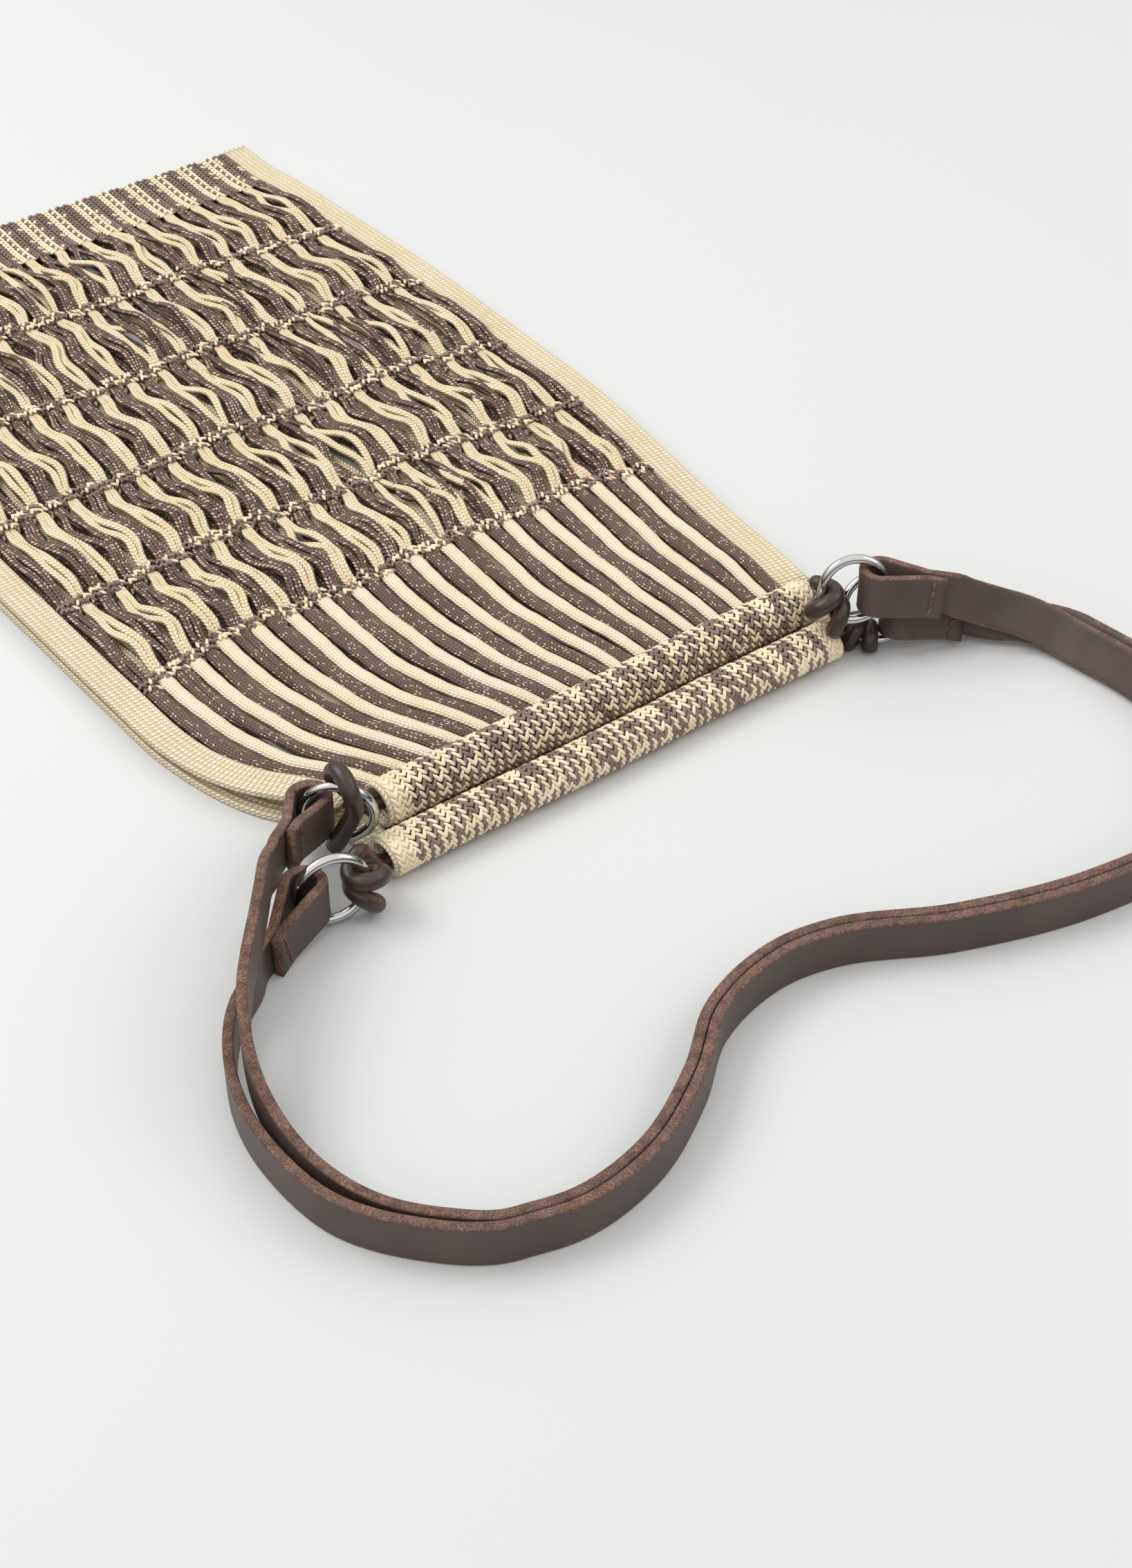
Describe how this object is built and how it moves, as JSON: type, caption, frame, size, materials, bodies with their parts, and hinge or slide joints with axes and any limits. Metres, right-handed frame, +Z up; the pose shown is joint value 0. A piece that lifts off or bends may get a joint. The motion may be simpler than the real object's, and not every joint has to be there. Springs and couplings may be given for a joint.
{
  "type": "net shopping bag",
  "caption": "Empty net bag lying flat, with knitted panels of loose strips, a rolled channel along each side of the mouth, steel rings and long flat straps.",
  "frame": {"origin": "on the surface, in the middle of the closed base band of the back panel", "axes": "+X across the bag to its right, +Y from the mouth to the base, +Z up"},
  "size_m": [0.4601, 0.7725, 0.0497],
  "materials": {
    "yarn": "knitted cream and brown yarn",
    "mixed_yarn": "knitted mixed yarn",
    "leather": "smooth face, raw edges",
    "steel": "polished"
  },
  "bodies": {
    "root": {"front_panel": "yarn", "back_panel": "yarn", "front_channel": "mixed_yarn", "back_channel": "mixed_yarn", "cord_front": "leather", "cord_back": "leather", "ring_front_left": "steel", "ring_back_left": "steel", "ring_front_right": "steel", "ring_back_right": "steel", "strap_front": "leather", "strap_back": "leather"}
  },
  "joints": []
}
